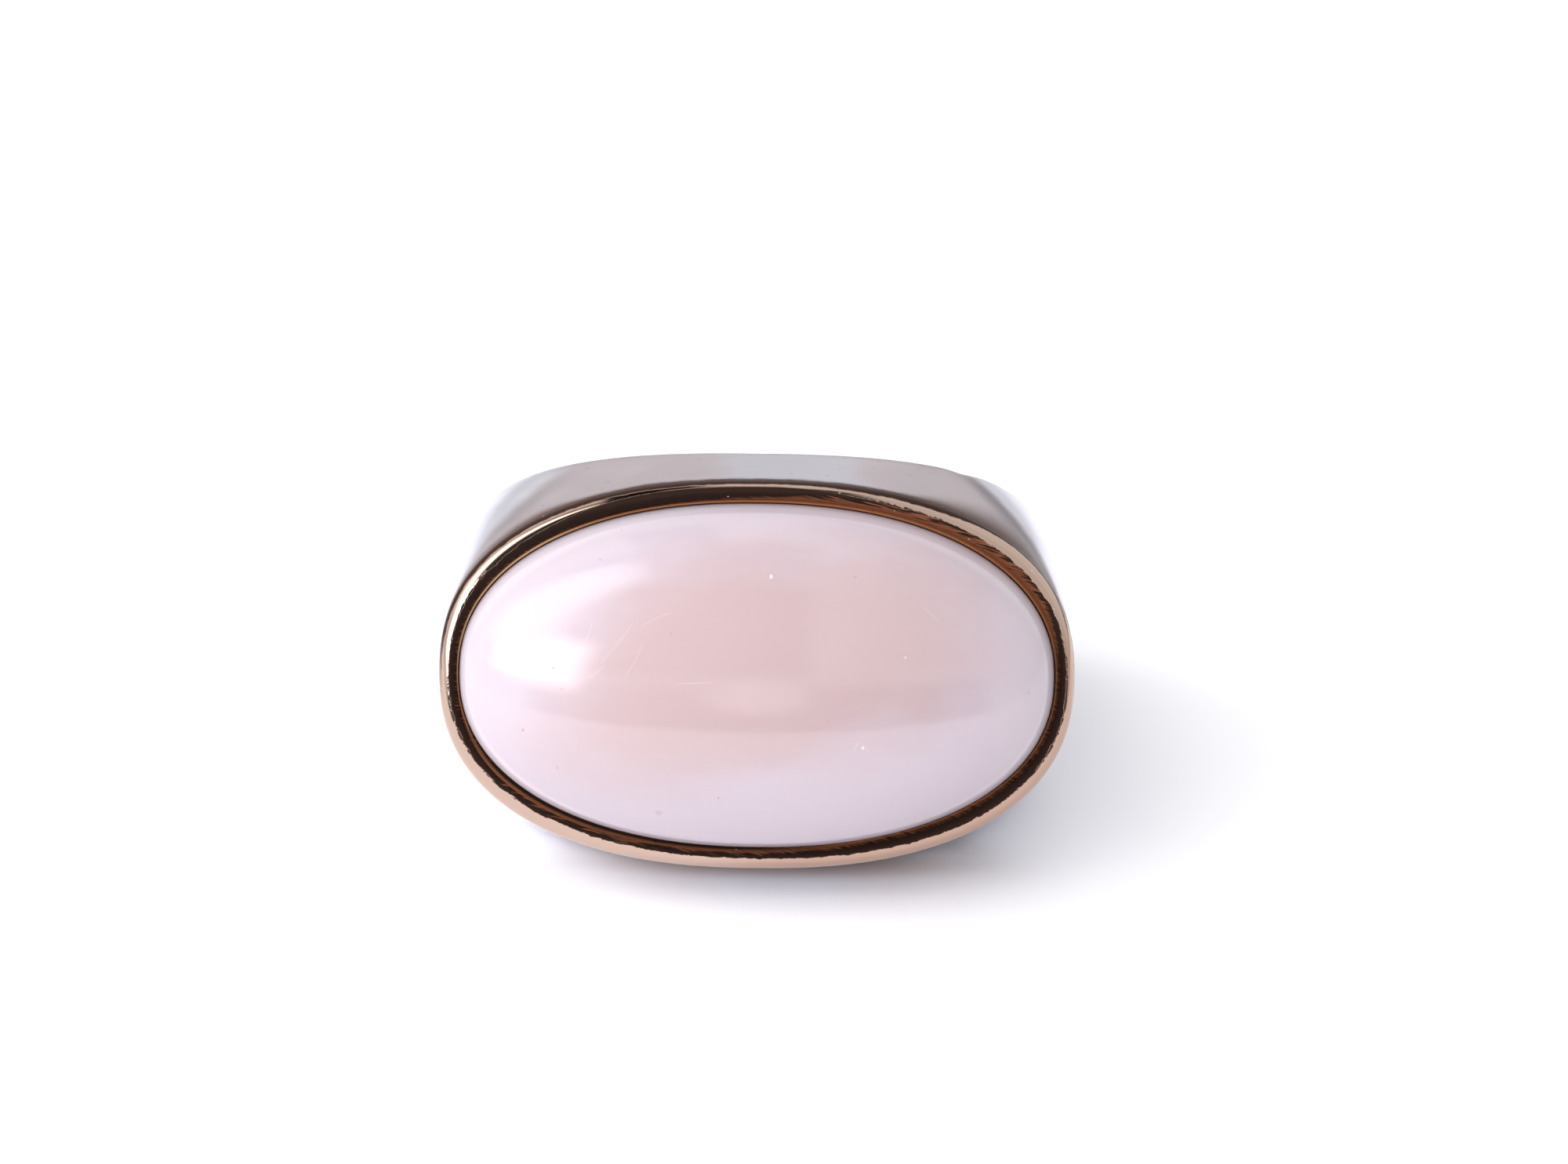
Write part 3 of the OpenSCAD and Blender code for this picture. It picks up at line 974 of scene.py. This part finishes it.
def makeCoral():
    s = coral
    turn = np.linspace(0, 2 * math.pi, s["around"], endpoint=False)
    rings = [(1 - s["baseBevel"] / stoneB, -s["depth"]), (1, s["baseBevel"] - s["depth"])]
    for t in np.linspace(0, math.pi / 2, s["rings"], endpoint=False):
        rings.append((math.cos(t), s["edgeHeight"] + s["domeHeight"] * math.sin(t)))
    points = []
    for share, height in rings:  # plainer ovals towards the top
        power = mix(2, outline["stonePower"], min(1, share) ** 2)
        x, w = oval(turn, stoneA * share, stoneB * share, power)
        points += [(px, pw, seat + height) for px, pw in zip(x, w)]
    count, last = s["around"], len(rings) - 1
    faces = gridFaces(len(rings), count, closed=True)
    for ring, height in ((0, -s["depth"]), (last, s["edgeHeight"] + s["domeHeight"])):
        points.append((0, 0, seat + height))
        faces += [(ring * count + j, ring * count + (j + 1) % count, len(points) - 1) for j in range(count)]
    return meshPiece("coral_stone", placed(*np.array(points).T), faces, s["sharpAngle"], coralMaterial)


coralPiece = makeCoral()
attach(coralPiece, "root")
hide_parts("coral")
print("coral made:", len(coralPiece.data.polygons), "faces")

# The pale table that the ring lies on, with a painted shade just in front of the ring
table = {
    "radius": 78,
    "centre": (0, 24),
    "sides": 96,
    "colour": (0.84, 0.84, 0.87),
    "warmShadeColour": (0.58, 0.49, 0.46),  # painted shade just in front of the ring
    "warmShadeAt": (1.0, -7.2),
    "warmShadeSize": (6.2, 1.1),
    "warmShadeEdge": (0.2, 1.4),
    "roughness": 0.9,
    "refraction": 1.2,
}


def makeTable():
    (x0, y0), radius = table["centre"], table["radius"]
    turn = np.linspace(0, 2 * math.pi, table["sides"], endpoint=False)
    points = [((x0 + radius * math.cos(t)) * mm, (y0 + radius * math.sin(t)) * mm, 0) for t in turn]
    mesh = bpy.data.meshes.new("table")
    mesh.from_pydata(points, [], [tuple(range(len(points)))])
    material, board = newMaterial("table")
    spot = board.parted(board.add("ShaderNodeTexCoord", out="Object"))
    (x0, y0), (a, b) = table["warmShadeAt"], table["warmShadeSize"]
    reach = (((spot / mm - x0) / a) ** 2 + ((spot.out("Y") / mm - y0) / b) ** 2).calc("SQRT")
    # Painted shade just in front of the ring
    warmShade = board.step(reach, *table["warmShadeEdge"], 1.0, 0.0)
    board.surface({
        "Base Color": board.blend(warmShade, table["colour"], table["warmShadeColour"]),
        "Roughness": table["roughness"],
        "IOR": table["refraction"],
    })
    mesh.materials.append(material)
    piece = linked("table", mesh)


makeTable()

# A bright room around the ring. Angles in degrees: azimuth 0 is in front and 90 on the right;
# lift runs from the front over the top to the back, and side from the middle to the right.
studio = {
    "softBox": [  # azimuth, elevation, half width, half height, soft edge, level
        (-60, 15.8, 23, 12.2, 11, 5.9),
        (-77, 44, 21, 26, 22, 3.15),
    ],
    "behind": 0.92,
    "overhead": 0.92,
    "overheadFrom": (25, 75),
    "rightLevel": 0.82,
    "rightFrom": (-50, -40),
    "rightLift": (84, 96),
    "skyLevel": 0.57,  # as it lights the ring and the table
    "frontLevel": 3.95,
    "frontSide": (-85, -65, -25, 58),
    "frontLift": (5, 22, 60, 85),
    "leftLight": (-84, 20, 24, 13, 12, 8.0),  # like a soft box, but not seen in the metal
    "patch": (0, 6, 5, 12, 1.3),  # a faint reflection low in front: azimuth, elevation, two radii, level
    "darkLevel": 0.01,  # as it shows in polished metal: the dark side behind the camera
    "darkSide": (-44, -36, 6, 12),
    "darkLift": (12, 19, 92, 112),
    "lowLevel": 0.15,  # below that, down to the table
    "lowSide": (-60, -50, 50, 60),
    "lowLift": (8, 16),
    "gapSide": (-18.5, -17, -6, -3),  # a dark gap overhead, which breaks the bright line on the rim
    "gapLift": (75, 80, 122, 138),
    "seenByCamera": 1.1,
}


def makeLights():
    world = bpy.data.worlds.new("room")
    bpy.context.scene.world = world
    world.use_nodes = True
    world.node_tree.nodes.clear()
    board = Board(world.node_tree)
    way = board.parted(board.add("ShaderNodeTexCoord", out="Generated"))
    degrees = 180 / math.pi
    azimuth = way.calc("ARCTAN2", 0 - way.out("Y")) * degrees
    elevation = way.out("Z").calc("ARCSINE") * degrees
    lift = way.out("Z").calc("ARCTAN2", 0 - way.out("Y")) * degrees
    side = way.calc("ARCSINE") * degrees
    rays = board.add("ShaderNodeLightPath", out="Is Camera Ray")
    mirrored = rays.out("Is Glossy Ray")

    def toward(level, share, value):
        return level + share * (value - level)

    def area(name):
        return board.window(side, *studio[name + "Side"]) * board.window(lift, *studio[name + "Lift"])

    upwards = board.step(elevation, *studio["overheadFrom"])
    level = studio["behind"] + upwards * (studio["overhead"] - studio["behind"])
    right = board.step(lift, *studio["rightLift"], 1.0, 0.0) * board.step(side, *studio["rightFrom"])
    level = toward(level, right, studio["rightLevel"])
    level = toward(level, area("dark") * mirrored, studio["darkLevel"])
    low = board.window(side, *studio["lowSide"]) * board.step(lift, *studio["lowLift"], 1.0, 0.0)
    level = toward(level, low * mirrored, studio["lowLevel"])
    middle, height, inner, outer, value = studio["patch"]
    reach = ((azimuth - middle) ** 2 + (elevation - height) ** 2).calc("SQRT")
    level = toward(level, board.step(reach, inner, outer, 1.0, 0.0) * mirrored, value)
    level = toward(level, 1 - mirrored, studio["skyLevel"])
    level = toward(level, area("front") * (1 - mirrored), studio["frontLevel"])
    boxes = [(studio["leftLight"], 1 - mirrored)] + [(box, 1.0) for box in studio["softBox"]]
    for (middle, height, wide, high, soft, value), share in boxes:
        for offset, half in ((azimuth - middle, wide), (elevation - height, high)):
            glow = board.step(offset.calc("ABSOLUTE"), half - soft / 2, half + soft / 2, 1.0, 0.0)
            share = glow * share
        level = toward(level, share, value)
    level = toward(level, area("gap") * mirrored, studio["darkLevel"])
    level = toward(level, rays, studio["seenByCamera"])
    background = board.add("ShaderNodeBackground", None, {"Color": (1, 1, 1, 1), "Strength": level})
    board.add("ShaderNodeOutputWorld", None, {"Surface": background})


makeLights()

# The camera, placed as the photograph was taken
view = {
    "elevation": 24.1,  # degrees, as the roll
    "distance": 350,
    "scale": 36,  # pixels to a millimetre at the bezel
    "aimPixel": (965.3, 861.5),  # where the middle of the bezel is
    "aimHeight": 13.8,
    "roll": -0.7,
    "frame": (2000, 1485),
    "sensor": 36,
    "clip": (0.01, 10),  # metres
}


def makeCamera():
    e, roll = math.radians(view["elevation"]), math.radians(view["roll"])
    back = Vector((0, -math.cos(e), math.sin(e)))
    right = Vector((1, 0, 0))
    up = back.cross(right)
    camRight = right * math.cos(roll) - up * math.sin(roll)
    camUp = right * math.sin(roll) + up * math.cos(roll)
    aim = holeAt + stoneWay * view["aimHeight"] * mm
    place = aim + back * view["distance"] * mm
    wide, high = view["frame"]
    offX = (wide / 2 - view["aimPixel"][0]) / view["scale"] * mm
    offY = (view["aimPixel"][1] - high / 2) / view["scale"] * mm
    middle = aim + camRight * offX + camUp * offY
    back = (place - middle).normalized()
    camRight = camUp.cross(back).normalized()
    camUp = back.cross(camRight)
    data = bpy.data.cameras.new("camera")
    data.sensor_width = view["sensor"]
    data.lens = view["distance"] * view["scale"] * view["sensor"] / wide
    data.clip_start, data.clip_end = view["clip"]
    camera = linked("camera", data)
    camera.matrix_world = Matrix.Translation(place) @ Matrix((camRight, camUp, back)).transposed().to_4x4()
    bpy.context.scene.camera = camera


makeCamera()
bpy.context.scene.view_settings.view_transform = "Standard"
print("stage, light and camera made")
